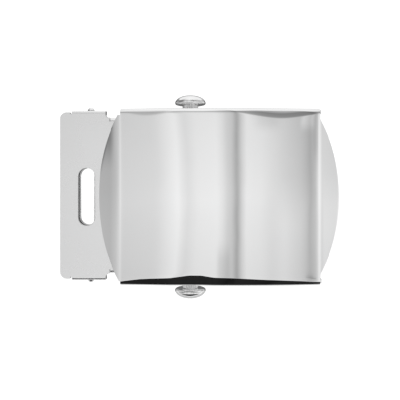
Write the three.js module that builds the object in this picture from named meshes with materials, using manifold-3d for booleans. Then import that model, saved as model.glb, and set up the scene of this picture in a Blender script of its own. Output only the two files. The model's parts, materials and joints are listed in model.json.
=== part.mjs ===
// Roller-lock buckle for a 32 mm web belt.
// Millimetres, +Z up. The belt runs along X, the face looks towards -Y, and the origin is the
// middle of the belt's path behind the face.
import * as THREE from 'three';
import { mergeVertices } from 'three/addons/utils/BufferGeometryUtils.js';
import Module from 'manifold-3d';

const manifold = await Module();
manifold.setup();

// Sheet metal and fits.
const SHEET = 0.8;
const GAP = 0.1;
const PIN_GAP = 0.05;
const CUT = 1;
const QUARTER = Math.PI / 2;

// Face cover: a bowed face, a flange above and below it, and a D-shaped wing at each end.
const COVER_HALF = 17.9;
const FOLD_X = 20.25;
const FOLD_FRONT = -4.6;
const FACE_BOW = 1.5;
const BEND = 1.3;
const LEFT_WING_REACH = 4.9;
const LEFT_WING_HALF = 17.5;
const RIGHT_WING_REACH = 4.4;
const RIGHT_WING_HALF = 15.6;
const WING_DROP = 2.4;
const FLANGE_BACK = 3.6;
const FLANGE_RIGHT = 21.0;
const FLANGE_FRONT = -3.3;
const FACE_STATIONS = 14;
const WING_STATIONS = 2;

// Roller: its place at rest, and the inclined slots in the flanges that it slides along.
const ROLLER_X = -6.1;
const ROLLER_Y = -1.0;
const ROLLER_Z = -0.1;
const ROLLER_RADIUS = 1.65;
const SLOT_ANGLE = THREE.MathUtils.degToRad(-22);
const SLOT_BACKWARD = 2.5;
const SLOT_FORWARD = 3.0;
const FLUTES = 20;
const FLUTE_DEPTH = 0.15;
const KNOB_BASE = 19.1;
const KNOB_HEIGHT = 2.0;
const KNOB_RADIUS = 3.2;
const STUB_RADIUS = 1.0;
const STUB_LENGTH = 1.5;

// End frame: a slotted plate with two ears bent back, and a tongue that runs under the cover.
const PLATE_FRONT = 1.9;
const PLATE_LEFT = -34.2;
const PLATE_HALF = 17.9;
const PLATE_CORNER = 1.4;
const EAR_LEFT = -31.7;
const EAR_RIGHT = -24.4;
const EAR_HALF = 18.25;
const EAR_BACK = 6.6;
const EAR_CORNER = 3.4;
const RELIEF = 0.9;
const TONGUE_RIGHT = -13.1;
const TONGUE_HALF = 16.75;
const TONGUE_BACK = 3.6;
const WINDOW_X = -28.5;
const WINDOW_Z = -0.3;
const WINDOW_HALF_WIDTH = 1.8;
const WINDOW_HALF = 6.2;

// Clamp: a toothed jaw that swings on two dome-headed pins in the frame's ears.
const PIVOT_X = -28.2;
const PIVOT_Y = 5.1;
const PIN_RADIUS = 0.45;
const PIN_HEAD_RADIUS = 0.78;
const PIN_HEAD_HEIGHT = 1.0;
const JAW_LEFT = -33.2;
const JAW_RIGHT = -26.65;
const JAW_FRONT = 3.9;
const JAW_EAR_LEFT = -31.4;
const JAW_EAR_RADIUS = 1.3;
const LIP = 0.6;
const TOOTH_TIP = 3.4;
const TOOTH_ROOT = 3.75;
const TEETH = 16;

// Lengths that follow from those above.
const FLANGE_INNER = COVER_HALF - SHEET;
const RELIEF_X = EAR_RIGHT + RELIEF;
const RELIEF_Z = TONGUE_HALF + RELIEF;
const PLATE_BACK = PLATE_FRONT + SHEET;
const EAR_INNER = EAR_HALF - SHEET;
const JAW_HALF = EAR_INNER - GAP;
const JAW_BACK = JAW_FRONT + SHEET;
const PIN_HEAD_BASE = EAR_HALF + PIN_GAP;

function toSolid(geometry) {
  geometry.deleteAttribute('normal');
  geometry.deleteAttribute('uv');
  const welded = mergeVertices(geometry);
  const triVerts = new Uint32Array(welded.index.array);
  const vertProperties = new Float32Array(welded.attributes.position.array);
  return new manifold.Manifold(new manifold.Mesh({ numProp: 3, vertProperties, triVerts }));
}

function toGeometry(solid) {
  const { vertProperties, triVerts } = solid.getMesh();
  const geometry = new THREE.BufferGeometry();
  geometry.setAttribute('position', new THREE.BufferAttribute(vertProperties, 3));
  geometry.setIndex(new THREE.BufferAttribute(triVerts, 1));
  geometry.computeVertexNormals();
  return geometry;
}

function extrude(shape, depth, steps = 1) {
  return new THREE.ExtrudeGeometry(shape, { depth, steps, bevelEnabled: false, curveSegments: 6 });
}

// An outline drawn in (X, Y), between two heights.
function alongZ(shape, low, high) {
  return toSolid(extrude(shape, high - low).translate(0, 0, low));
}

// An outline drawn in (X, Z), between two depths.
function alongY(shape, front, back) {
  const axes = new THREE.Matrix4().makeBasis(
    new THREE.Vector3(1, 0, 0),
    new THREE.Vector3(0, 0, 1),
    new THREE.Vector3(0, -1, 0),
  );
  return toSolid(extrude(shape, back - front).applyMatrix4(axes).translate(0, back, 0));
}

// An outline drawn in (Y, Z), swept from X = 0 in the given number of steps.
function sweepX(shape, length, steps = 1) {
  const axes = new THREE.Matrix4().makeBasis(
    new THREE.Vector3(0, 1, 0),
    new THREE.Vector3(0, 0, 1),
    new THREE.Vector3(1, 0, 0),
  );
  return extrude(shape, length, steps).applyMatrix4(axes);
}

function box(low, high) {
  const size = new THREE.Vector3().subVectors(high, low);
  const middle = new THREE.Vector3().addVectors(low, high).multiplyScalar(0.5);
  const geometry = new THREE.BoxGeometry(size.x, size.y, size.z);
  return toSolid(geometry.translate(middle.x, middle.y, middle.z));
}

function uprightCylinder(x, y, radius, halfLength) {
  const geometry = new THREE.CylinderGeometry(radius, radius, 2 * halfLength, 24);
  return toSolid(geometry.rotateX(QUARTER).translate(x, y, 0));
}

function polygon(points) {
  return new THREE.Shape(points.map(([x, y]) => new THREE.Vector2(x, y)));
}

function stadium(ax, ay, bx, by, radius) {
  const heading = Math.atan2(by - ay, bx - ax);
  const outline = new THREE.Shape();
  outline.absarc(bx, by, radius, heading - QUARTER, heading + QUARTER);
  outline.absarc(ax, ay, radius, heading + QUARTER, heading + 3 * QUARTER);
  outline.closePath();
  return outline;
}

// How far behind the fold the sheet lies at x: bowed forward on the face, swept back on the wings.
function sheetDrop(x) {
  const beyond = Math.max(Math.abs(x) - FOLD_X, 0) / LEFT_WING_REACH;
  const onFace = Math.min(Math.abs(x) / FOLD_X, 1);
  return WING_DROP * beyond * (0.6 + 0.4 * beyond) - FACE_BOW * (1 - onFace * onFace);
}

// X of a station, counted from the middle of the cover, with one station on each fold.
function stationX(count) {
  const faceHalf = FACE_STATIONS / 2;
  const onFace = Math.min(Math.abs(count), faceHalf);
  const onWing = (Math.abs(count) - onFace) / WING_STATIONS;
  return Math.sign(count) * ((onFace / faceHalf) * FOLD_X + onWing * LEFT_WING_REACH);
}

// The solid inside a bowed channel: an upright section with round front corners.
function bowedBar(half, front, radius, back) {
  const section = new THREE.Shape();
  section.moveTo(back, -half);
  section.lineTo(back, half);
  section.absarc(front + radius, half - radius, radius, QUARTER, 2 * QUARTER);
  section.absarc(front + radius, radius - half, radius, 2 * QUARTER, 3 * QUARTER);
  section.closePath();
  const stations = FACE_STATIONS + 2 * WING_STATIONS;
  const geometry = sweepX(section, stations, stations);
  const position = geometry.attributes.position;
  for (let index = 0; index < position.count; index += 1) {
    const x = stationX(Math.round(position.getX(index)) - stations / 2);
    const y = position.getY(index);
    position.setX(index, x);
    position.setY(index, y < 0 ? y + sheetDrop(x) : y);
  }
  return toSolid(geometry);
}

// The round edge of a wing, on the right for side 1 and on the left for side -1.
function wingArc(outline, side, reach, half) {
  const radius = (half ** 2 + reach ** 2) / (2 * reach);
  const turn = Math.asin(half / radius);
  const outwards = side > 0 ? 0 : Math.PI;
  outline.absarc(side * (FOLD_X + reach - radius), 0, radius, outwards - turn, outwards + turn);
}

function wingedOutline() {
  const outline = new THREE.Shape();
  outline.moveTo(-FOLD_X, -COVER_HALF);
  outline.lineTo(FOLD_X, -COVER_HALF);
  wingArc(outline, 1, RIGHT_WING_REACH, RIGHT_WING_HALF);
  outline.lineTo(FOLD_X, COVER_HALF);
  outline.lineTo(-FOLD_X, COVER_HALF);
  wingArc(outline, -1, LEFT_WING_REACH, LEFT_WING_HALF);
  outline.closePath();
  return outline;
}

function rollerSlot(radius) {
  const along = new THREE.Vector2(Math.cos(SLOT_ANGLE), Math.sin(SLOT_ANGLE));
  return stadium(
    ROLLER_X - SLOT_BACKWARD * along.x,
    ROLLER_Y - SLOT_BACKWARD * along.y,
    ROLLER_X + SLOT_FORWARD * along.x,
    ROLLER_Y + SLOT_FORWARD * along.y,
    radius,
  );
}

function faceCover() {
  const outside = bowedBar(COVER_HALF, FOLD_FRONT, BEND, FLANGE_BACK);
  const inside = bowedBar(FLANGE_INNER, FOLD_FRONT + SHEET, BEND - SHEET, FLANGE_BACK + CUT);
  const flangeLow = new THREE.Vector3(-FOLD_X, FLANGE_FRONT, -COVER_HALF);
  const flangeHigh = new THREE.Vector3(FLANGE_RIGHT, FLANGE_BACK, COVER_HALF);
  const wings = alongY(wingedOutline(), FOLD_FRONT - 2 * FACE_BOW, FLANGE_BACK);
  const blank = wings.add(box(flangeLow, flangeHigh));
  const slots = alongZ(rollerSlot(ROLLER_RADIUS + GAP), -COVER_HALF - CUT, COVER_HALF + CUT);
  return outside.subtract(inside).intersect(blank).subtract(slots);
}

function framePlateOutline() {
  const outline = new THREE.Shape();
  const cornerX = PLATE_LEFT + PLATE_CORNER;
  const cornerZ = PLATE_HALF - PLATE_CORNER;
  outline.absarc(cornerX, cornerZ, PLATE_CORNER, 2 * QUARTER, QUARTER, true);
  outline.lineTo(EAR_RIGHT, PLATE_HALF);
  outline.absarc(RELIEF_X, RELIEF_Z, RELIEF, 2 * QUARTER, 3 * QUARTER, false);
  outline.lineTo(TONGUE_RIGHT, TONGUE_HALF);
  outline.lineTo(TONGUE_RIGHT, -TONGUE_HALF);
  outline.absarc(RELIEF_X, -RELIEF_Z, RELIEF, QUARTER, 2 * QUARTER, false);
  outline.lineTo(EAR_RIGHT, -PLATE_HALF);
  outline.absarc(cornerX, -cornerZ, PLATE_CORNER, 3 * QUARTER, 2 * QUARTER, true);
  outline.closePath();
  return outline;
}

function frameEarOutline() {
  const outline = new THREE.Shape();
  const cornerY = EAR_BACK - EAR_CORNER;
  outline.moveTo(EAR_LEFT, PLATE_FRONT);
  outline.lineTo(EAR_RIGHT, PLATE_FRONT);
  outline.absarc(EAR_RIGHT - EAR_CORNER, cornerY, EAR_CORNER, 0, QUARTER);
  outline.absarc(EAR_LEFT + EAR_CORNER, cornerY, EAR_CORNER, QUARTER, 2 * QUARTER);
  outline.closePath();
  return outline;
}

// The same piece at the top and at the bottom, between two distances from the middle.
function bothEnds(outline, inner, outer) {
  return alongZ(outline, inner, outer).add(alongZ(outline, -outer, -inner));
}

// The oblong window, which the frame and the clamp share.
function windowOutline() {
  const reach = WINDOW_HALF - WINDOW_HALF_WIDTH;
  return stadium(WINDOW_X, WINDOW_Z - reach, WINDOW_X, WINDOW_Z + reach, WINDOW_HALF_WIDTH);
}

function endFrame() {
  const tongueFlange = polygon([
    [RELIEF_X, PLATE_FRONT],
    [TONGUE_RIGHT, PLATE_FRONT],
    [TONGUE_RIGHT, TONGUE_BACK],
    [RELIEF_X, TONGUE_BACK],
  ]);
  return alongY(framePlateOutline(), PLATE_FRONT, PLATE_BACK)
    .add(bothEnds(frameEarOutline(), EAR_INNER, EAR_HALF))
    .add(bothEnds(tongueFlange, TONGUE_HALF - SHEET, TONGUE_HALF))
    .subtract(alongY(windowOutline(), PLATE_FRONT - CUT, PLATE_BACK + CUT))
    .subtract(uprightCylinder(PIVOT_X, PIVOT_Y, PIN_RADIUS + PIN_GAP, EAR_HALF + CUT));
}

function jawEarOutline() {
  const outline = new THREE.Shape();
  outline.moveTo(JAW_EAR_LEFT, JAW_FRONT);
  outline.lineTo(JAW_RIGHT, JAW_FRONT);
  outline.lineTo(JAW_RIGHT, JAW_BACK);
  outline.absarc(PIVOT_X, PIVOT_Y, JAW_EAR_RADIUS, 0, 1.1 * QUARTER);
  outline.lineTo(JAW_EAR_LEFT, JAW_BACK);
  outline.closePath();
  return outline;
}

function toothedOutline(half) {
  const pitch = (2 * half) / TEETH;
  const points = [[JAW_BACK, -half], [JAW_BACK, half]];
  for (let tooth = TEETH; tooth > 0; tooth -= 1) {
    const top = -half + tooth * pitch;
    points.push([TOOTH_ROOT, top]);
    points.push([TOOTH_TIP, top - pitch / 2]);
  }
  points.push([TOOTH_ROOT, -half]);
  return polygon(points);
}

function clampJaw() {
  const web = box(
    new THREE.Vector3(JAW_LEFT, JAW_FRONT, -JAW_HALF),
    new THREE.Vector3(JAW_RIGHT, JAW_BACK, JAW_HALF),
  );
  const lip = toSolid(sweepX(toothedOutline(JAW_HALF - SHEET), LIP).translate(JAW_RIGHT - LIP, 0, 0));
  return web
    .subtract(alongY(windowOutline(), JAW_FRONT - CUT, JAW_BACK + CUT))
    .add(bothEnds(jawEarOutline(), JAW_HALF - SHEET, JAW_HALF))
    .add(lip)
    .subtract(uprightCylinder(PIVOT_X, PIVOT_Y, PIN_RADIUS + 2 * PIN_GAP, EAR_HALF));
}

function flutedOutline() {
  const points = [];
  for (let edge = 0; edge < 2 * FLUTES; edge += 1) {
    const angle = (Math.PI * edge) / FLUTES;
    const radius = ROLLER_RADIUS - (edge % 2) * FLUTE_DEPTH;
    points.push([radius * Math.cos(angle), radius * Math.sin(angle)]);
  }
  return polygon(points);
}

function rollerBar() {
  const half = KNOB_BASE - PIN_GAP;
  return alongZ(flutedOutline(), -half, half)
    .add(uprightCylinder(0, 0, STUB_RADIUS, half + STUB_LENGTH));
}

function turned(profile) {
  const points = profile.map(([radius, height]) => new THREE.Vector2(radius, height));
  return new THREE.LatheGeometry(points, 24).rotateX(QUARTER);
}

// A knob with a blind hole for the bar's stub, its inner face at Z = 0.
function knob() {
  const hole = STUB_RADIUS + PIN_GAP;
  const depth = STUB_LENGTH + PIN_GAP;
  return turned([
    [0, depth],
    [hole, depth],
    [hole, 0],
    [0.72 * KNOB_RADIUS, 0],
    [0.96 * KNOB_RADIUS, 0.09 * KNOB_HEIGHT],
    [KNOB_RADIUS, 0.22 * KNOB_HEIGHT],
    [0.94 * KNOB_RADIUS, 0.46 * KNOB_HEIGHT],
    [0.76 * KNOB_RADIUS, 0.75 * KNOB_HEIGHT],
    [0.44 * KNOB_RADIUS, 0.94 * KNOB_HEIGHT],
    [0, KNOB_HEIGHT],
  ]);
}

// A pin with a domed head, the head's underside at Z = 0.
function clampPin() {
  const shank = PIN_HEAD_BASE - JAW_HALF + SHEET - PIN_GAP;
  return turned([
    [0, -shank],
    [PIN_RADIUS, -shank],
    [PIN_RADIUS, 0],
    [PIN_HEAD_RADIUS, 0],
    [0.9 * PIN_HEAD_RADIUS, 0.5 * PIN_HEAD_HEIGHT],
    [0.55 * PIN_HEAD_RADIUS, 0.87 * PIN_HEAD_HEIGHT],
    [0, PIN_HEAD_HEIGHT],
  ]);
}

const buckle = new THREE.Group();

function addMesh(name, geometry, colour, roughness) {
  const material = new THREE.MeshStandardMaterial({ color: colour, roughness, metalness: 1 });
  const mesh = new THREE.Mesh(geometry, material);
  mesh.name = name;
  buckle.add(mesh);
  return mesh;
}

addMesh('face_cover', toGeometry(faceCover()), 0xdcdddf, 0.12);
addMesh('end_frame', toGeometry(endFrame()), 0xd2d3d5, 0.2);
addMesh('clamp_jaw', toGeometry(clampJaw()), 0xc6c7c9, 0.25);

const bar = addMesh('roller_bar', toGeometry(rollerBar()), 0xbfc0c2, 0.22);
bar.position.set(ROLLER_X, ROLLER_Y, ROLLER_Z);

const upperKnob = addMesh('upper_knob', knob(), 0xd6d7d9, 0.1);
upperKnob.position.set(ROLLER_X, ROLLER_Y, ROLLER_Z + KNOB_BASE);

const lowerKnob = addMesh('lower_knob', knob(), 0xd6d7d9, 0.1);
lowerKnob.position.set(ROLLER_X, ROLLER_Y, ROLLER_Z - KNOB_BASE);
lowerKnob.rotation.x = Math.PI;

const upperPin = addMesh('upper_clamp_pin', clampPin(), 0xcccdcf, 0.2);
upperPin.position.set(PIVOT_X, PIVOT_Y, PIN_HEAD_BASE);

const lowerPin = addMesh('lower_clamp_pin', clampPin(), 0xcccdcf, 0.2);
lowerPin.position.set(PIVOT_X, PIVOT_Y, -PIN_HEAD_BASE);
lowerPin.rotation.x = Math.PI;

export default buckle;
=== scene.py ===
"""Looks of a roller-lock belt buckle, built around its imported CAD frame. Shapes are in millimetres."""

import json
import math

import bmesh
import bpy
from mathutils import Matrix, Vector, noise


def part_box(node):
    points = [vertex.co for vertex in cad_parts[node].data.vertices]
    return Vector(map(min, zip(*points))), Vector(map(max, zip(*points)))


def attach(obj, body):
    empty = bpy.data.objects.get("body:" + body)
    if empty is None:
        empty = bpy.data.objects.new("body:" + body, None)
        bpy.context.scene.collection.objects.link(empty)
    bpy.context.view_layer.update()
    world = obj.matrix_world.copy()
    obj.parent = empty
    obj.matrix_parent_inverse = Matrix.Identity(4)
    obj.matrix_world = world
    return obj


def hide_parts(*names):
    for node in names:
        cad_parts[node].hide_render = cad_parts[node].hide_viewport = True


MM = 0.001
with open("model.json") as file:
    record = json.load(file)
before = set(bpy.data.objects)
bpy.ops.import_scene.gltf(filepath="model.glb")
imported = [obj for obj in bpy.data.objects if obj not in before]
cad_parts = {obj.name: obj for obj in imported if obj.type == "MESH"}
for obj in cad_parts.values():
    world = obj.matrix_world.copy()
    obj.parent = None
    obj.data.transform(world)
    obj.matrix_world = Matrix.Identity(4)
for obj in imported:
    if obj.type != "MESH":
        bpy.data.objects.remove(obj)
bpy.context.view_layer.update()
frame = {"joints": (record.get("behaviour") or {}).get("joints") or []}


def corners(node):
    """The lowest and highest corner of a CAD node, in millimetres."""
    low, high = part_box(node)
    return low / MM, high / MM


JOINTS = {joint["name"]: joint for joint in frame["joints"]}
PIVOT = Vector(JOINTS["clamp_hinge"]["pos_m"]) / MM
ROLLER = Vector(JOINTS["roller_spin"]["pos_m"]) / MM
SLIDE_AXIS = Vector(JOINTS["roller_slide"]["axis"])
SLIDE_BACK, SLIDE_FORWARD = (limit / MM for limit in JOINTS["roller_slide"]["range_m"])

# Sheet metal.
SHEET = 0.8
EDGE = 0.1
QUARTER = math.pi / 2
# A turned profile starts and ends this close to its axis.
AXIS_GAP = 0.001

# Face cover.
COVER_LOW, COVER_HIGH = corners("face_cover")
COVER_HALF = COVER_HIGH.z
FOLD_X = 20.25
FOLD_FRONT = -4.6
FACE_BOW = FOLD_FRONT - COVER_LOW.y
LEFT_WING_REACH = -COVER_LOW.x - FOLD_X
LEFT_WING_HALF = 17.5
RIGHT_WING_REACH = COVER_HIGH.x - FOLD_X
RIGHT_WING_HALF = 15.6
# How far back a wing's tip lies, and the share of that which comes from its curling towards the tip.
WING_DROP = 2.4
WING_CURL = 0.4
FLANGE_RIGHT = 21.0
FOLD_SOFTNESS = 0.05
ROLLER_SLOT_RADIUS = 1.75
# Radius of the rounded rims, the turn that counts as a rim, and how near a fold or a wing's root they end.
COVER_EDGE = 0.18
RIM_TURN = math.radians(60)
RIM_TO_FOLD = 0.2
RIM_TO_ROOT = 3.2
# Height of the facet and bend between the face and the lower flange, by x.
LOWER_EDGE = [
    (-20.25, 0.85), (-19.4, 1.02), (-16.2, 1.47), (-14.1, 1.62), (-10.2, 1.79), (-8.1, 2.1),
    (-6.3, 2.37), (-3.9, 2.37), (-1.3, 1.95), (2.0, 1.86), (4.9, 1.7), (8.0, 1.51), (12.1, 1.3),
    (16.1, 1.06), (18.5, 0.88), (20.25, 0.8),
]
LOWER_TILT = math.radians(27)
LOWER_BEND = 0.6
LOWER_LEAD = 0.12
# The upper bend starts gently where the press tool pinched the sheet: (x, half width, tilt).
UPPER_PINCHES = [(12.0, 9.3, math.radians(17)), (-14.6, 5.0, math.radians(9))]
UPPER_TILT = math.radians(4)
UPPER_BEND = 1.0
# Height of the lead-in to the upper bend, and how much it grows with a pinch's tilt.
UPPER_LEAD = 0.4
UPPER_LEAD_GROWTH = 4.7
# Waviness left by pressing: (depth, length along the belt, height, place in the noise).
PRESS_WAVES = [(0.012, 9, 13, 4.2), (0.004, 3, 4, 8.1)]
PRESS_SINK = 0.005

# End frame.
FRAME_LOW, FRAME_HIGH = corners("end_frame")
PLATE_MIDDLE = 1.9 + SHEET / 2
PLATE_HALF = 17.9
PLATE_CORNER = 1.4
EAR_LEFT = -31.7
EAR_RIGHT = -24.4
EAR_CORNER = 3.4
EAR_BEND = 0.2
EAR_NOTCH = 0.3
NOTCH_CORNER = 0.1
RELIEF = 0.9
RELIEF_X = EAR_RIGHT + RELIEF
TONGUE_HALF = 16.75
TONGUE_BACK = 3.6
TONGUE_BEND = 0.42
TONGUE_SLIT = 0.05
TONGUE_CORNER = 0.3
WINDOW_X = -28.5
WINDOW_Z = -0.3
WINDOW_HALF_WIDTH = 1.8
WINDOW_HALF = 6.2

# Clamp jaw.
JAW_LOW, JAW_HIGH = corners("clamp_jaw")
JAW_MIDDLE = 3.9 + SHEET / 2
JAW_EAR_LEFT = -31.4
JAW_EAR_RADIUS = 1.3
JAW_BEND = 0.5
TEETH = 16
TOOTH_DEPTH = 0.35
TOOTH_INSET = 0.03
# A tooth's flat tip, as shares of the pitch.
TOOTH_TIP = (0.45, 0.55)
LIP_WIDTH = 0.6
LIP_GAP = 0.2
LIP_EDGE = 0.04

# Turned pieces.
PIN_RADIUS = 0.45
PIN_CHAMFER = 0.05
FLUTES = 24
FLUTE_DEPTH = 0.15
STUB_RADIUS = 1.0
ROLLER_GAP = 0.05
SHOULDER_WIDTH = 0.15
SHOULDER_HEIGHT = 0.2
KNOB_HOLE_RADIUS = 1.05
KNOB_HOLE_DEPTH = 1.5
KNOB_FLARE = 0.1
KNOB_FLARE_DEPTH = 0.06
KNOB_SEAT = 0.55


# ---------------------------------------------------------------- mesh helpers

def finished(name, mesh, sharp_degrees):
    """An object from a mesh in millimetres, smooth but for its sharp edges."""
    mesh.transform(Matrix.Scale(MM, 4))
    mesh.polygons.foreach_set("use_smooth", [True] * len(mesh.polygons))
    mesh.set_sharp_from_angle(angle=math.radians(sharp_degrees))
    obj = bpy.data.objects.new(name, mesh)
    bpy.context.scene.collection.objects.link(obj)
    return obj


def mesh_from(name, vertices, faces):
    mesh = bpy.data.meshes.new(name)
    mesh.from_pydata(vertices, [], faces)
    return mesh


def with_modifiers(mesh, modifiers):
    """The mesh after a list of (type, settings) modifiers."""
    obj = bpy.data.objects.new("work", mesh)
    bpy.context.scene.collection.objects.link(obj)
    for kind, settings in modifiers:
        modifier = obj.modifiers.new(kind.lower(), kind)
        for key, value in settings.items():
            setattr(modifier, key, value)
    depsgraph = bpy.context.evaluated_depsgraph_get()
    result = bpy.data.meshes.new_from_object(obj.evaluated_get(depsgraph))
    bpy.data.objects.remove(obj)
    return result


def arc(centre_x, centre_y, radius, start, end, steps=8):
    """Points on an arc, angles in quarter turns."""
    points = []
    for step in range(steps + 1):
        angle = QUARTER * (start + (end - start) * step / steps)
        points.append((centre_x + radius * math.cos(angle), centre_y + radius * math.sin(angle)))
    return points


def stadium(low, high, radius):
    """An oblong with round ends between two centres."""
    turn = math.atan2(high[1] - low[1], high[0] - low[0]) / QUARTER
    return (arc(high[0], high[1], radius, turn - 1, turn + 1, 16)
            + arc(low[0], low[1], radius, turn + 1, turn + 3, 16))


def mirrored(points):
    """An upper half outline, from left to right, closed by its mirror image below."""
    return points + [(x, -y) for x, y in reversed(points)]


def flat_sheet(outlines, thickness, edge=EDGE):
    """A flat sheet in the XY plane with rounded cut edges; outlines after the first are holes."""
    curve = bpy.data.curves.new("sheet", "CURVE")
    curve.dimensions = "2D"
    curve.fill_mode = "BOTH"
    curve.extrude = thickness / 2 - edge
    curve.bevel_depth = edge
    curve.bevel_resolution = 2
    curve.offset = -edge
    for outline in outlines:
        spline = curve.splines.new("POLY")
        spline.points.add(len(outline) - 1)
        for point, (x, y) in zip(spline.points, outline):
            point.co = (x, y, 0, 1)
        spline.use_cyclic_u = True
    mesh = with_modifiers(curve, [])
    work = bmesh.new()
    work.from_mesh(mesh)
    bmesh.ops.remove_doubles(work, verts=work.verts, dist=1e-5)
    bmesh.ops.recalc_face_normals(work, faces=work.faces)
    work.to_mesh(mesh)
    work.free()
    return mesh


def sliced(mesh, axis, places):
    """The mesh with an edge line at each place along an axis, so that it can bend there."""
    normal = [0, 0, 0]
    normal[axis] = 1
    work = bmesh.new()
    work.from_mesh(mesh)
    for place in places:
        point = [0, 0, 0]
        point[axis] = place
        everything = work.verts[:] + work.edges[:] + work.faces[:]
        bmesh.ops.bisect_plane(work, geom=everything, plane_co=point, plane_no=normal, dist=1e-6)
    work.to_mesh(mesh)
    work.free()
    return mesh


def folded(along, across, line, radius):
    """A point of a flat sheet after a right-angle bend, away from the viewer, at a line."""
    travel = along - line
    if travel <= 0:
        return along, across
    arm = radius - across
    turn = min(travel / radius, QUARTER)
    rest = max(travel - radius * QUARTER, 0)
    return line + arm * math.sin(turn), radius - arm * math.cos(turn) + rest


def bend_places(line, radius, steps=12):
    """Where a flat sheet needs edge lines, to bend smoothly from a line on."""
    return [line + radius * QUARTER * step / steps for step in range(steps + 1)]


def both_signs(places):
    return places + [-place for place in places]


def loft(name, rings):
    """A closed solid through rings of points, the first and the last ring capped."""
    size = len(rings[0])
    vertices = [point for ring in rings for point in ring]
    faces = []
    for ring in range(len(rings) - 1):
        for step in range(size):
            after = (step + 1) % size
            low, high = ring * size, (ring + 1) * size
            faces.append((low + step, low + after, high + after, high + step))
    faces.append(tuple(reversed(range(size))))
    faces.append(tuple(range(len(vertices) - size, len(vertices))))
    return mesh_from(name, vertices, faces)


def turned(name, profile, base, upwards, steps=96):
    """A solid of revolution about a vertical axis; profile is (radius, height above base)."""
    rings = []
    for radius, height in profile:
        ring = []
        for step in range(steps):
            angle = upwards * 4 * QUARTER * step / steps
            x = base.x + radius * math.cos(angle)
            y = base.y + radius * math.sin(angle)
            ring.append((x, y, base.z + upwards * height))
        rings.append(ring)
    return loft(name, rings)


def smooth_profile(points, steps=8):
    """A Catmull-Rom curve through a short list of profile points, level where it meets the axis."""
    padded = [points[0]] + points + [(-points[-2][0], points[-2][1])]
    result = []
    for index in range(1, len(padded) - 2):
        before, start, end, after = (Vector(padded[index + shift]) for shift in (-1, 0, 1, 2))
        for step in range(steps):
            t = step / steps
            value = (2 * start + (end - before) * t
                     + (2 * before - 5 * start + 4 * end - after) * t ** 2
                     + (3 * start - before - 3 * end + after) * t ** 3) / 2
            result.append((max(value.x, AXIS_GAP), min(value.y, points[-1][1])))
    result.append((max(points[-1][0], AXIS_GAP), points[-1][1]))
    return result


# ---------------------------------------------------------------- face cover

# The side of a cover column that is past the right fold, on a flange's end.
PAST_FOLD = 2


def smooth_max(a, b, softness):
    return (a + b + math.sqrt((a - b) ** 2 + softness ** 2)) / 2


def cover_front(x):
    """Y of the cover's outer surface at x: a bowed face with a wing swept back at each end."""
    side = abs(x)
    face = FOLD_FRONT - FACE_BOW * (1 - (side / FOLD_X) ** 2)
    beyond = (side - FOLD_X) / LEFT_WING_REACH
    wing = FOLD_FRONT + WING_DROP * ((1 - WING_CURL) * beyond + WING_CURL * max(beyond, 0) ** 2)
    return smooth_max(face, wing, FOLD_SOFTNESS)


def between(stops, x):
    """The value at x on the line through a list of stops."""
    for (low_x, low), (high_x, high) in zip(stops, stops[1:]):
        if x <= high_x:
            share = min(max((x - low_x) / (high_x - low_x), 0), 1)
            return low + (high - low) * share
    return stops[-1][1]


def edge_zone(x, side):
    """The strip that turns the face into a flange: lead-in, facet, tilt where the bend starts, radius."""
    if side < 0:
        height = between(LOWER_EDGE, x)
        steepness = 1 - math.sin(LOWER_TILT)
        radius = min(LOWER_BEND, (height - LOWER_LEAD) / steepness)
        return LOWER_LEAD, height - LOWER_LEAD - radius * steepness, LOWER_TILT, radius
    tilt = UPPER_TILT
    for middle, half_width, extra in UPPER_PINCHES:
        share = min(abs(x - middle) / half_width, 1)
        tilt += extra * (1 - share * share) ** 2
    return UPPER_LEAD + UPPER_LEAD_GROWTH * (tilt - UPPER_TILT), 0.0, tilt, UPPER_BEND


def face_half(x, side):
    """Height of the plain part of the face above or below the middle."""
    lead, facet, tilt, radius = edge_zone(x, side)
    return COVER_HALF - lead - facet - radius * (1 - math.sin(tilt))


def wing_reach(side, z):
    """How far the left (-1) or right (1) wing reaches past its fold at a height; its rim is an arc."""
    reach, half = (LEFT_WING_REACH, LEFT_WING_HALF) if side < 0 else (RIGHT_WING_REACH, RIGHT_WING_HALF)
    radius = (half ** 2 + reach ** 2) / (2 * reach)
    return max(math.sqrt(max(radius ** 2 - z ** 2, 0)) - (radius - reach), 0)


def press_marks(x, z):
    """Slight waviness that pressing leaves in the sheet, set a little inwards."""
    waves = (depth * noise.noise((x / along, z / up, place)) for depth, along, up, place in PRESS_WAVES)
    return sum(waves, PRESS_SINK)


def cover_rows():
    """The section from the lower flange's back edge, round the face, to the upper one's."""
    face_rows, lead_rows, bend_rows, flange_rows = 44, 5, 9, 6
    edge = [("lead", row / lead_rows) for row in range(1, lead_rows + 1)]
    edge += [("bend", row / bend_rows) for row in range(bend_rows + 1)]
    edge += [("flange", row / flange_rows) for row in range(1, flange_rows + 1)]
    face = [("face", -1 + 2 * row / face_rows, 1) for row in range(face_rows + 1)]
    lower = [(kind, share, -1) for kind, share in reversed(edge)]
    upper = [(kind, share, 1) for kind, share in edge]
    return lower + face + upper


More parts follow.
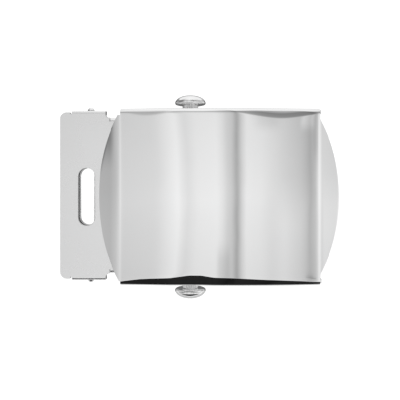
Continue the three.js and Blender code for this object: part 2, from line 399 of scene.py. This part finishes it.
def cover_section(x, row):
    """(y, z) of a row of the section at x."""
    kind, share, side = row
    front = cover_front(x)
    if kind == "face":
        z = share * face_half(x, share)
        fade = (1 - share ** 2) ** 2
        return front + press_marks(x, z) * fade, z
    lead, facet, tilt, radius = edge_zone(x, side)
    start = face_half(x, side)
    lead_radius = lead / math.sin(tilt)
    if kind == "lead":
        turn = share * tilt
        rise = lead_radius * math.sin(turn)
        return front + lead_radius * (1 - math.cos(turn)), side * (start + rise)
    front += lead_radius * (1 - math.cos(tilt)) + facet * math.tan(tilt)
    if kind == "bend":
        turn = tilt + share * (QUARTER - tilt)
        rise = lead + facet + radius * (math.sin(turn) - math.sin(tilt))
        return front + radius * (math.cos(tilt) - math.cos(turn)), side * (start + rise)
    front += radius * math.cos(tilt)
    return front + share * (COVER_HIGH.y - front), side * COVER_HALF


def cover_columns():
    """Places across the cover: (side, share of the way out), with side 0 on the face, -1 or 1 on a wing."""
    face_columns, fold_columns, fold_step, wing_columns = 80, 12, 0.004, 14
    face = [-1 + 2 * column / face_columns for column in range(face_columns + 1)]
    near_fold = [1 - fold_step * step for step in range(1, fold_columns)]
    face = sorted(face + both_signs(near_fold))
    wing = [(step / wing_columns) * (step / wing_columns) for step in range(1, wing_columns + 1)]
    return ([(-1, share) for share in reversed(wing)] + [(0, share) for share in face]
            + [(1, share) for share in wing])


def cover_point(column, row):
    """Where a column meets a row of the section, or None where the sheet has no such place."""
    side, share = column
    kind = row[0]
    if side == 0:
        x = share * FOLD_X
        return x, *cover_section(x, row)
    if side == PAST_FOLD:
        x = FOLD_X + share * (FLANGE_RIGHT - FOLD_X)
        return (x, *cover_section(x, row)) if kind == "flange" else None
    if kind != "face":
        return None
    y, z = cover_section(side * FOLD_X, row)
    x = side * (FOLD_X + share * wing_reach(side, z))
    y += cover_front(x) - cover_front(FOLD_X)
    return x, y, z


def face_cover_mesh():
    """The cover's outer surface: face and flanges, a wing at each end, and the flanges' right ends."""
    rows = cover_rows()
    columns = cover_columns()
    flange_ends = [(PAST_FOLD, 0.5), (PAST_FOLD, 1.0)]
    work = bmesh.new()
    grid = {}
    for column in columns + flange_ends:
        for index, row in enumerate(rows):
            point = cover_point(column, row)
            if point:
                grid[column, index] = work.verts.new(point)
    for order in (columns, [(0, 1.0)] + flange_ends):
        for left, right in zip(order, order[1:]):
            for index in range(len(rows) - 1):
                keys = [(left, index), (right, index), (right, index + 1), (left, index + 1)]
                if all(key in grid for key in keys):
                    work.faces.new([grid[key] for key in keys])
    bmesh.ops.remove_doubles(work, verts=work.verts, dist=1e-4)
    bmesh.ops.dissolve_degenerate(work, edges=work.edges, dist=1e-5)
    mesh = bpy.data.meshes.new("face_cover_sheet")
    work.to_mesh(mesh)
    work.free()
    return mesh


def rounded_rims(mesh):
    """The sheet with its cut edges rounded where they show: both wings, then the flanges' backs."""
    places = [
        lambda spot: spot.x < -FOLD_X - RIM_TO_FOLD and abs(spot.z) < LEFT_WING_HALF - RIM_TO_ROOT,
        lambda spot: spot.x > FOLD_X + RIM_TO_FOLD and abs(spot.z) < RIGHT_WING_HALF - RIM_TO_ROOT,
        lambda spot: spot.y > COVER_HIGH.y - 0.01 and abs(spot.x) < FOLD_X - RIM_TO_FOLD,
    ]
    work = bmesh.new()
    work.from_mesh(mesh)
    for place in places:
        edges = [edge for edge in work.edges
                 if edge.is_manifold and edge.calc_face_angle() > RIM_TURN
                 and all(place(vertex.co) for vertex in edge.verts)]
        bmesh.ops.bevel(work, geom=edges, offset=COVER_EDGE, offset_type="OFFSET", segments=3,
                        profile=0.5, affect="EDGES", clamp_overlap=True)
    # A bevel leaves its faces in a chance order, so they are put in order of their places.
    in_order = sorted(work.faces, key=lambda face: tuple(face.calc_center_median()))
    rank = {face: index for index, face in enumerate(in_order)}
    work.faces.sort(key=rank.get)
    work.to_mesh(mesh)
    work.free()
    return mesh


def roller_slot_cutter():
    """A tall block of the outline that the roller's ends slide in, to cut both flanges with."""
    back = ROLLER + SLIDE_AXIS * SLIDE_BACK
    forward = ROLLER + SLIDE_AXIS * SLIDE_FORWARD
    outline = stadium((back.x, back.y), (forward.x, forward.y), ROLLER_SLOT_RADIUS)
    reach = COVER_HALF + 2
    rings = [[(x, y, height) for x, y in outline] for height in (-reach, reach)]
    cutter = bpy.data.objects.new("cutter", loft("cutter", rings))
    bpy.context.scene.collection.objects.link(cutter)
    return cutter


def face_cover():
    """The cover with its thickness, its roller slots and its rounded rims."""
    cutter = roller_slot_cutter()
    mesh = with_modifiers(face_cover_mesh(), [
        ("SOLIDIFY", {"thickness": SHEET, "offset": -1, "use_even_offset": True,
                      "use_quality_normals": True}),
        ("BOOLEAN", {"operation": "DIFFERENCE", "object": cutter, "solver": "EXACT"}),
    ])
    bpy.data.objects.remove(cutter)
    return finished("face_cover_visual", rounded_rims(mesh), sharp_degrees=24)


# ---------------------------------------------------------------- end frame

def frame_outline():
    """The end frame's flat blank, upper half, from left to right."""
    ear_line = FRAME_HIGH.z - EAR_BEND - SHEET / 2
    ear_end = ear_line + EAR_BEND * QUARTER + FRAME_HIGH.y - PLATE_MIDDLE - EAR_BEND
    tongue_line = TONGUE_HALF - TONGUE_BEND - SHEET / 2
    tongue_end = tongue_line + TONGUE_BEND * QUARTER + TONGUE_BACK - PLATE_MIDDLE - TONGUE_BEND
    left = FRAME_LOW.x
    right = FRAME_HIGH.x
    flange = RELIEF_X + TONGUE_SLIT
    points = arc(left + PLATE_CORNER, PLATE_HALF - PLATE_CORNER, PLATE_CORNER, 2, 1)
    points += [(EAR_LEFT - EAR_NOTCH - NOTCH_CORNER, PLATE_HALF)]
    points += [(EAR_LEFT - EAR_NOTCH, PLATE_HALF - NOTCH_CORNER)]
    points += arc(EAR_LEFT - EAR_NOTCH / 2, ear_line, EAR_NOTCH / 2, 2, 4, 6)
    points += arc(EAR_LEFT + EAR_CORNER, ear_end - EAR_CORNER, EAR_CORNER, 2, 1)
    points += arc(EAR_RIGHT - EAR_CORNER, ear_end - EAR_CORNER, EAR_CORNER, 1, 0)
    points += arc(RELIEF_X, TONGUE_HALF + RELIEF, RELIEF, 2, 3, 10)
    points += [(RELIEF_X, tongue_line), (flange, tongue_line)]
    points += [(flange, tongue_end - TONGUE_CORNER), (flange + TONGUE_CORNER, tongue_end)]
    points += [(right - TONGUE_CORNER, tongue_end), (right, tongue_end - TONGUE_CORNER)]
    return points, ear_line, tongue_line


def window_outline():
    """The oblong slot that the plate and the jaw share."""
    reach = WINDOW_HALF - WINDOW_HALF_WIDTH
    return stadium((WINDOW_X, WINDOW_Z - reach), (WINDOW_X, WINDOW_Z + reach), WINDOW_HALF_WIDTH)


def end_frame():
    """The slotted plate with its ears and the tongue's flanges bent back."""
    points, ear_line, tongue_line = frame_outline()
    mesh = flat_sheet([mirrored(points), window_outline()], SHEET)
    places = bend_places(ear_line, EAR_BEND) + bend_places(tongue_line, TONGUE_BEND)
    mesh = sliced(mesh, 1, both_signs(places))
    for vertex in mesh.vertices:
        x, height, across = vertex.co
        sign = math.copysign(1, height)
        height = abs(height)
        if x > RELIEF_X + TONGUE_SLIT / 2:
            height, across = folded(height, across, tongue_line, TONGUE_BEND)
        elif x > EAR_LEFT - EAR_NOTCH / 2:
            height, across = folded(height, across, ear_line, EAR_BEND)
        vertex.co = (x, PLATE_MIDDLE + across, sign * height)
    mesh.flip_normals()
    return finished("end_frame_visual", mesh, sharp_degrees=10)


# ---------------------------------------------------------------- clamp

def jaw_outline():
    """The jaw's flat blank, upper half, from left to right, and the line where its ear bends."""
    ear_line = JAW_HIGH.z - JAW_BEND - SHEET / 2
    ear_end = ear_line + JAW_BEND * QUARTER + JAW_HIGH.y - JAW_MIDDLE - JAW_BEND
    left = JAW_LOW.x
    right = JAW_HIGH.x
    centre = ear_end - JAW_EAR_RADIUS
    points = [(left, ear_line - 1.2), (left + 0.5, ear_line - 0.3), (JAW_EAR_LEFT - 0.3, ear_line)]
    points += [(JAW_EAR_LEFT, ear_line + 0.9)]
    points += arc(PIVOT.x, centre, JAW_EAR_RADIUS, 1.35, 0)
    points += [(right, ear_line)]
    return points, ear_line


def clamp_web():
    """The jaw's slotted web with its two ears bent back."""
    points, ear_line = jaw_outline()
    mesh = sliced(flat_sheet([mirrored(points), window_outline()], SHEET), 1,
                  both_signs(bend_places(ear_line, JAW_BEND)))
    for vertex in mesh.vertices:
        x, height, across = vertex.co
        sign = math.copysign(1, height)
        height, across = folded(abs(height), across, ear_line, JAW_BEND)
        vertex.co = (x, JAW_MIDDLE + across, sign * height)
    mesh.flip_normals()
    return mesh


def tooth_bar():
    """The toothed lip along the jaw's inner edge."""
    half = JAW_HIGH.z - SHEET - LIP_GAP
    pitch = 2 * half / TEETH
    root = JAW_LOW.y + TOOTH_DEPTH
    tip = JAW_LOW.y + TOOTH_INSET
    points = [(JAW_MIDDLE, -half), (root, -half)]
    for tooth in range(TEETH):
        start = -half + tooth * pitch
        points += [(tip, start + pitch * share) for share in TOOTH_TIP]
        points.append((root, start + pitch))
    points.append((JAW_MIDDLE, half))
    mesh = flat_sheet([points], LIP_WIDTH, LIP_EDGE)
    middle = JAW_HIGH.x - LIP_WIDTH / 2
    mesh.transform(Matrix(((0, 0, 1, middle), (1, 0, 0, 0), (0, 1, 0, 0), (0, 0, 0, 1))))
    return mesh


def clamp_jaw():
    work = bmesh.new()
    work.from_mesh(clamp_web())
    work.from_mesh(tooth_bar())
    mesh = bpy.data.meshes.new("clamp_jaw")
    work.to_mesh(mesh)
    work.free()
    return finished("clamp_jaw_visual", mesh, sharp_degrees=10)


def clamp_pin(node, upwards):
    """A pin with a domed head outside the ear; upwards is 1 for the upper pin, -1 for the lower."""
    low, high = corners(node)
    base = Vector((PIVOT.x, PIVOT.y, FRAME_HIGH.z * upwards))
    inside = base.z * upwards - min(abs(low.z), abs(high.z))
    dome = max(abs(low.z), abs(high.z)) - FRAME_HIGH.z
    radius = (high.x - low.x) / 2
    shank = [(AXIS_GAP, -inside), (PIN_RADIUS - PIN_CHAMFER, -inside), (PIN_RADIUS, -inside + PIN_CHAMFER),
             (PIN_RADIUS, 0.02), (radius, 0.03)]
    head = smooth_profile([(radius, 0.05), (0.93 * radius, 0.42 * dome), (0.62 * radius, 0.8 * dome),
                           (0.3 * radius, 0.96 * dome), (0, dome)])
    return finished(node + "_visual", turned(node, shank + head, base, upwards, 48), sharp_degrees=40)


# ---------------------------------------------------------------- roller

def fluted_ring(radius, depth, height, points_per_flute=8):
    """The bar's section at a height above its middle, with grooves of a depth."""
    ring = []
    count = FLUTES * points_per_flute
    for step in range(count):
        angle = 4 * QUARTER * step / count
        groove = (0.5 - 0.5 * math.cos(angle * FLUTES)) ** 2
        reach = radius - depth * groove
        x = ROLLER.x + reach * math.cos(angle)
        ring.append((x, ROLLER.y + reach * math.sin(angle), ROLLER.z + height))
    return ring


def roller_bar():
    """The fluted bar, with a stub at each end that the knobs sit on."""
    low, high = corners("roller_bar")
    shoulder = corners("upper_knob")[0].z - ROLLER.z - ROLLER_GAP
    radius = (high.x - low.x) / 2
    upper = [(radius, FLUTE_DEPTH, 0.0), (radius, FLUTE_DEPTH, shoulder - SHOULDER_HEIGHT),
             (radius - SHOULDER_WIDTH, 0.0, shoulder), (STUB_RADIUS, 0.0, shoulder),
             (STUB_RADIUS, 0.0, high.z - ROLLER.z)]
    section = [(r, depth, -z) for r, depth, z in reversed(upper[1:])] + upper
    rings = [fluted_ring(*values) for values in section]
    return finished("roller_bar_visual", loft("roller_bar", rings), sharp_degrees=35)


def knob(node, upwards):
    """A domed knob with a hole for the bar's stub; upwards is 1 for the upper knob, -1 for the lower."""
    low, high = corners(node)
    radius = (high.x - low.x) / 2
    height = high.z - low.z
    base = Vector((ROLLER.x, ROLLER.y, min(abs(low.z), abs(high.z)) * upwards))
    hole = [(AXIS_GAP, KNOB_HOLE_DEPTH), (KNOB_HOLE_RADIUS, KNOB_HOLE_DEPTH),
            (KNOB_HOLE_RADIUS, KNOB_FLARE_DEPTH), (KNOB_HOLE_RADIUS + KNOB_FLARE, 0.0),
            (KNOB_SEAT * radius, 0.0)]
    crown = smooth_profile([
        (0.86 * radius, 0.02 * height), (0.96 * radius, 0.07 * height), (radius, 0.2 * height),
        (0.955 * radius, 0.42 * height), (0.8 * radius, 0.68 * height), (0.52 * radius, 0.89 * height),
        (0.2 * radius, 0.985 * height), (0, height),
    ])
    return finished(node + "_visual", turned(node, hole + crown, base, upwards), sharp_degrees=50)


# ---------------------------------------------------------------- shader helpers

def node_tree(name):
    material = bpy.data.materials.new(name)
    material.use_nodes = True
    tree = material.node_tree
    return material, tree, tree.nodes["Principled BSDF"]


def math_node(tree, operation, *values):
    """A maths node on sockets and plain floats."""
    node = tree.nodes.new("ShaderNodeMath")
    node.operation = operation
    for socket, value in zip(node.inputs, values):
        if isinstance(value, float):
            socket.default_value = value
        else:
            tree.links.new(value, socket)
    return node.outputs["Value"]


def remapped(tree, source, low, high, start=0.3, end=0.7):
    """A quantity that runs from start to end, spread to run from low to high."""
    node = tree.nodes.new("ShaderNodeMapRange")
    node.inputs["From Min"].default_value = start
    node.inputs["From Max"].default_value = end
    node.inputs["To Min"].default_value = low
    node.inputs["To Max"].default_value = high
    tree.links.new(source, node.inputs["Value"])
    return node.outputs["Result"]


def soft_step(tree, source, middle, softness):
    """0 below and 1 above a middle value, eased over a width."""
    node = tree.nodes.new("ShaderNodeMapRange")
    node.interpolation_type = "SMOOTHSTEP"
    node.inputs["From Min"].default_value = middle - softness / 2
    node.inputs["From Max"].default_value = middle + softness / 2
    tree.links.new(source, node.inputs["Value"])
    return node.outputs["Result"]


def inside_band(tree, source, low, high, softness):
    """1 between two values and 0 beyond them, eased over a width."""
    above_low = soft_step(tree, source, low, softness)
    above_high = soft_step(tree, source, high, softness)
    return math_node(tree, "SUBTRACT", above_low, above_high)


def ramp(tree, source, stops):
    """Grey by a measured quantity, from rising stops of (quantity, grey)."""
    low = stops[0][0]
    span = stops[-1][0] - low
    node = tree.nodes.new("ShaderNodeValToRGB")
    elements = node.color_ramp.elements
    while len(elements) > 1:
        elements.remove(elements[-1])
    for index, (quantity, grey) in enumerate(stops):
        place = (quantity - low) / span
        element = elements[0] if index == 0 else elements.new(place)
        element.position = place
        element.color = (grey, grey, grey, 1)
    tree.links.new(math_node(tree, "MULTIPLY_ADD", source, 1 / span, -low / span), node.inputs["Fac"])
    return node.outputs["Color"]


def stretched_noise(tree, scale, stretch, detail):
    """Noise in the object's own space, scaled per metre and drawn out along one axis."""
    coordinates = tree.nodes.new("ShaderNodeTexCoord")
    mapping = tree.nodes.new("ShaderNodeMapping")
    mapping.inputs["Scale"].default_value = stretch
    texture = tree.nodes.new("ShaderNodeTexNoise")
    texture.inputs["Scale"].default_value = scale
    texture.inputs["Detail"].default_value = detail
    tree.links.new(coordinates.outputs["Object"], mapping.inputs["Vector"])
    tree.links.new(mapping.outputs["Vector"], texture.inputs["Vector"])
    return texture


# ---------------------------------------------------------------- plating

# Noise scales per metre of the brushed grain, the cloudy wear and the hair scratches.
GRAIN_SCALE = 5200
CLOUD_SCALE = 160
SCRATCH_SCALE = 2400
# Scale along the grain's direction, as a share of the scale across it.
GRAIN_STRETCH = 0.02
SCRATCH_STRETCH = 0.06
# Only the noise in this narrow range makes scratches, and they are this high beside the grain.
SCRATCH_RANGE = (0.68, 0.74)
SCRATCH_HEIGHT = 0.08
BUMP_DEPTH = 0.01
# Colour of the dull clouds as a share of the clear plating's.
CLOUD_TINT = (0.985, 0.987, 0.99)


def chrome(name, shade, roughness, wear, grain_axis, grain_strength):
    """Plated steel: fine brushing along one axis, cloudy wear in the gloss, and hair scratches."""
    material, tree, shader = node_tree(name)
    shader.inputs["Metallic"].default_value = 1.0
    grain_stretch = [1.0, 1.0, 1.0]
    grain_stretch[grain_axis] = GRAIN_STRETCH
    grain = stretched_noise(tree, GRAIN_SCALE, grain_stretch, 3)
    clouds = stretched_noise(tree, CLOUD_SCALE, (1, 1, 1), 4)
    scratch_stretch = [1.0, 1.0, 1.0]
    scratch_stretch[grain_axis] = SCRATCH_STRETCH
    scratches = stretched_noise(tree, SCRATCH_SCALE, scratch_stretch, 1)
    tree.links.new(remapped(tree, clouds.outputs["Fac"], roughness * (1 - wear), roughness * (1 + wear)),
                   shader.inputs["Roughness"])
    tint = tree.nodes.new("ShaderNodeMixRGB")
    tint.inputs["Color1"].default_value = (*(shade * share for share in CLOUD_TINT), 1)
    tint.inputs["Color2"].default_value = (shade, shade, shade, 1)
    tree.links.new(remapped(tree, clouds.outputs["Fac"], 0, 1), tint.inputs["Fac"])
    tree.links.new(tint.outputs["Color"], shader.inputs["Base Color"])
    marks = remapped(tree, scratches.outputs["Fac"], 0, 1, *SCRATCH_RANGE)
    height = math_node(tree, "MULTIPLY_ADD", marks, SCRATCH_HEIGHT, grain.outputs["Fac"])
    bump = tree.nodes.new("ShaderNodeBump")
    bump.inputs["Strength"].default_value = grain_strength
    bump.inputs["Distance"].default_value = BUMP_DEPTH * MM
    tree.links.new(height, bump.inputs["Height"])
    tree.links.new(bump.outputs["Normal"], shader.inputs["Normal"])
    return material


# ---------------------------------------------------------------- studio

FLOOR_DROP = 120
FLOOR_REACH = 3000
FLOOR_SHADE = 0.96
FLOOR_ROUGHNESS = 0.9
SURROUNDINGS_LIGHT = 1.15
DOME_RADIUS = 2000
# Brightness of the light tent by azimuth, in degrees to the right of straight in front.
TENT_AROUND = [
    (-180, 0.85), (-125, 0.87), (-100, 0.9), (-88, 0.48), (-60, 0.46), (-50, 0.54),
    (-42, 0.66), (-34, 0.82), (-26, 0.7), (-16, 0.74), (-10, 0.93), (-8.8, 0.92), (-8.0, 0.76),
    (-4, 0.87), (2, 0.9), (4.2, 0.7), (6.3, 0.6), (7.85, 0.22), (8.65, 0.88), (14, 0.84), (26, 0.58),
    (28.5, 0.42), (33, 0.95), (38, 0.9), (48, 0.74), (80, 0.7), (105, 0.9), (180, 0.85),
]
# Share of that brightness by elevation, in degrees above the horizon.
TENT_UP = [
    (-90, 0.95), (-45, 1.08), (-24, 1.0), (-17, 0.93), (-12, 0.89), (-3, 1.0), (6, 0.92),
    (12, 0.88), (20, 0.6), (34, 0.55), (42, 1.0), (90, 1.15),
]
# High up, the bands melt into one even ceiling: middle and width of the change, light.
CEILING = (62, 30, 0.85)
# The left bands bow sideways by this many degrees per square degree away from their middle height,
# up to a limit in square degrees. The bow fades out over a width round straight in front.
BAND_MIDDLE = -2.7
BAND_LEAN = 0.013
BAND_LIMIT = 400.0
BAND_FADE = 12
# Flags (shade under 1) and white cards (over 1) hung in the tent: azimuth from, to, softness,
# elevation from, to, softness, shade.
FLAGS = [
    # A black cloth under the buckle, which the lower bend mirrors.
    (-85, 85, 12, -110, -43, 3, 0.02),
    # A grey flag high on the left, for the left wing's upper half.
    (-150, -56, 12, 2.5, 40, 5, 0.5),
    # A grey flag over the right half, for the pinch in the upper bend.
    (8, 50, 5, 14, 46, 5, 0.64),
    # Two small spots low beside the right fold.
    (27.0, 29.2, 1.2, -12.5, -11.8, 0.5, 0.7),
    (28.2, 30.2, 1.2, -13.1, -12.2, 0.5, 0.72),
    # Dark cloth behind the buckle at the horizon, and grey below it, for the knobs' edges.
    (135, 200, 15, -18, 25, 10, 0.2),
    (-200, -135, 15, -18, 25, 10, 0.2),
    (110, 200, 15, -75, -18, 10, 0.62),
    (-200, -110, 15, -75, -18, 10, 0.62),
    # White cards low at both sides, for the wings.
    (-95, -40, 12, -40, -5, 8, 1.14),
    (50, 100, 12, -40, -3, 8, 1.12),
    # A white card low on the right, and small trims round the face's dark bands.
    (19, 29, 5, -30, -3.5, 7, 1.17),
    (29.2, 32, 1.2, 2, 14, 4, 0.84),
    (25.5, 29.5, 1.5, 5.6, 12, 1.5, 1.3),
    (12.5, 19, 4, 5.6, 12, 1.5, 0.88),
    (1.5, 5, 1.5, -16, -9, 3, 0.84),
]


def tent_light(tree):
    """The tent's light by direction: upright bands, an even ceiling, then the flags and cards."""
    coordinates = tree.nodes.new("ShaderNodeTexCoord")
    direction = tree.nodes.new("ShaderNodeVectorMath")
    direction.operation = "NORMALIZE"
    tree.links.new(coordinates.outputs["Object"], direction.inputs[0])
    axes = tree.nodes.new("ShaderNodeSeparateXYZ")
    tree.links.new(direction.outputs["Vector"], axes.inputs["Vector"])
    x, y, z = (axes.outputs[axis] for axis in "XYZ")
    elevation = math_node(tree, "DEGREES", math_node(tree, "ARCSINE", z))
    azimuth = math_node(tree, "ARCTAN2", x, math_node(tree, "MULTIPLY", y, -1.0))
    azimuth = math_node(tree, "DEGREES", azimuth)
    from_middle = math_node(tree, "POWER", math_node(tree, "ADD", elevation, -BAND_MIDDLE), 2.0)
    from_middle = math_node(tree, "MINIMUM", from_middle, BAND_LIMIT)
    on_left = math_node(tree, "SUBTRACT", 1.0, soft_step(tree, azimuth, 0, BAND_FADE))
    bow = math_node(tree, "MULTIPLY", math_node(tree, "MULTIPLY", from_middle, BAND_LEAN), on_left)
    around = ramp(tree, math_node(tree, "ADD", azimuth, bow), TENT_AROUND)
    height, change, evenness = CEILING
    overhead = soft_step(tree, elevation, height, change)
    to_even = math_node(tree, "SUBTRACT", evenness, around)
    around = math_node(tree, "MULTIPLY_ADD", to_even, overhead, around)
    light = math_node(tree, "MULTIPLY", around, ramp(tree, elevation, TENT_UP))
    for left, right, side_soft, low, high, soft, shade in FLAGS:
        cover = math_node(tree, "MULTIPLY", inside_band(tree, azimuth, left, right, side_soft),
                          inside_band(tree, elevation, low, high, soft))
        light = math_node(tree, "MULTIPLY", light, math_node(tree, "MULTIPLY_ADD", cover, shade - 1, 1.0))
    return light


def light_tent():
    """A dome that only glossy reflections see, lit in soft upright bands, with dark flags in it."""
    work = bmesh.new()
    bmesh.ops.create_icosphere(work, subdivisions=4, radius=DOME_RADIUS * MM)
    mesh = bpy.data.meshes.new("light_tent")
    work.to_mesh(mesh)
    work.free()
    dome = bpy.data.objects.new("light_tent", mesh)
    bpy.context.scene.collection.objects.link(dome)
    material = bpy.data.materials.new("light_tent")
    material.use_nodes = True
    tree = material.node_tree
    tree.nodes.clear()
    emission = tree.nodes.new("ShaderNodeEmission")
    tree.links.new(tent_light(tree), emission.inputs["Strength"])
    output = tree.nodes.new("ShaderNodeOutputMaterial")
    tree.links.new(emission.outputs["Emission"], output.inputs["Surface"])
    mesh.materials.append(material)
    dome.visible_camera = False
    dome.visible_diffuse = False
    dome.visible_shadow = False
    dome.visible_transmission = False


def pale_floor():
    """A wide white floor well below the buckle."""
    reach = FLOOR_REACH * MM
    signs = [(-1, -1), (1, -1), (1, 1), (-1, 1)]
    places = [(reach * across, reach * along, -FLOOR_DROP * MM) for across, along in signs]
    mesh = mesh_from("floor", places, [(0, 1, 2, 3)])
    floor = bpy.data.objects.new("floor", mesh)
    bpy.context.scene.collection.objects.link(floor)
    material, _, shader = node_tree("floor_white")
    shader.inputs["Base Color"].default_value = (FLOOR_SHADE, FLOOR_SHADE, FLOOR_SHADE, 1)
    shader.inputs["Roughness"].default_value = FLOOR_ROUGHNESS
    mesh.materials.append(material)
    floor.visible_glossy = False


def white_surroundings():
    """Even white light from all round."""
    world = bpy.data.worlds.new("studio")
    world.use_nodes = True
    background = world.node_tree.nodes["Background"]
    background.inputs["Color"].default_value = (1, 1, 1, 1)
    background.inputs["Strength"].default_value = SURROUNDINGS_LIGHT
    bpy.context.scene.world = world


# The camera stands this far in front of the face's folds. The view's width and the height of its
# middle are measured in the plane of the folds.
CAMERA_DISTANCE = 100
CAMERA_SIDE = -4.09
CAMERA_HEIGHT = 4.7
VIEW_WIDTH = 80.8
VIEW_MIDDLE = -0.63
SENSOR_WIDTH = 36
NEAREST_SEEN = 1
FARTHEST_SEEN = 10000


def camera():
    """A level camera that looks straight at the face, shifted up or down to frame the buckle."""
    data = bpy.data.cameras.new("camera")
    data.sensor_width = SENSOR_WIDTH
    data.lens = data.sensor_width * CAMERA_DISTANCE / VIEW_WIDTH
    data.shift_y = (VIEW_MIDDLE - CAMERA_HEIGHT) / VIEW_WIDTH
    data.clip_start = NEAREST_SEEN * MM
    data.clip_end = FARTHEST_SEEN * MM
    obj = bpy.data.objects.new("camera", data)
    obj.location = Vector((CAMERA_SIDE, FOLD_FRONT - CAMERA_DISTANCE, CAMERA_HEIGHT)) * MM
    obj.rotation_euler = (QUARTER, 0, 0)
    bpy.context.scene.collection.objects.link(obj)
    bpy.context.scene.camera = obj


# ---------------------------------------------------------------- assembly

camera()
white_surroundings()
pale_floor()
light_tent()
bpy.context.scene.view_settings.view_transform = "Standard"

polished = chrome("polished_chrome", shade=0.95, roughness=0.045, wear=0.3, grain_axis=0,
                  grain_strength=0.05)
plain = chrome("satin_chrome", shade=0.94, roughness=0.27, wear=0.08, grain_axis=2, grain_strength=0.03)
fluted = chrome("fluted_chrome", shade=0.9, roughness=0.12, wear=0.2, grain_axis=2, grain_strength=0.05)

PIECES = [
    (face_cover(), "face_cover", "cover_and_frame", "polished_chrome", polished),
    (end_frame(), "end_frame", "cover_and_frame", "satin_chrome", plain),
    (clamp_pin("upper_clamp_pin", 1), "upper_clamp_pin", "cover_and_frame", "satin_chrome", plain),
    (clamp_pin("lower_clamp_pin", -1), "lower_clamp_pin", "cover_and_frame", "satin_chrome", plain),
    (clamp_jaw(), "clamp_jaw", "clamp", "satin_chrome", plain),
    (roller_bar(), "roller_bar", "roller", "satin_chrome", fluted),
    (knob("upper_knob", 1), "upper_knob", "roller_knobs", "polished_chrome", polished),
    (knob("lower_knob", -1), "lower_knob", "roller_knobs", "polished_chrome", polished),
]
for piece, cad_node, body, slot, material in PIECES:
    piece.data.materials.clear()
    piece.data.materials.append(material)
    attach(piece, body)
    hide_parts(cad_node)
